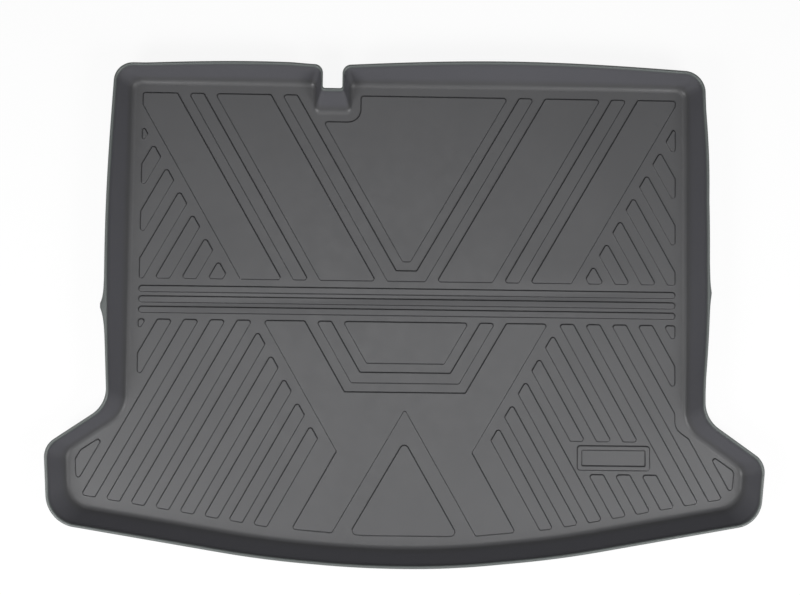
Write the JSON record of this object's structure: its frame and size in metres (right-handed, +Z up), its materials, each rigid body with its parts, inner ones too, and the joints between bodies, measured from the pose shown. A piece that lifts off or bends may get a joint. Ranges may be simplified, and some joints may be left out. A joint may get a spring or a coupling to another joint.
{
  "type": "car boot liner",
  "caption": "Black moulded rubber boot liner for a car: shallow tray with raised rim, notch at the back edge, widened front corners and a raised tread of slanted bars and panels.",
  "frame": {"origin": "centre of the overall box in X and Y, on the flat underside in Z", "axes": "+X along the long side towards the viewer's right, +Y towards the notched back edge, +Z up out of the tray"},
  "size_m": [1.0268, 0.7304, 0.042],
  "materials": {
    "rubber": "satin"
  },
  "bodies": {
    "root": {"boot_liner": "rubber"}
  },
  "joints": []
}
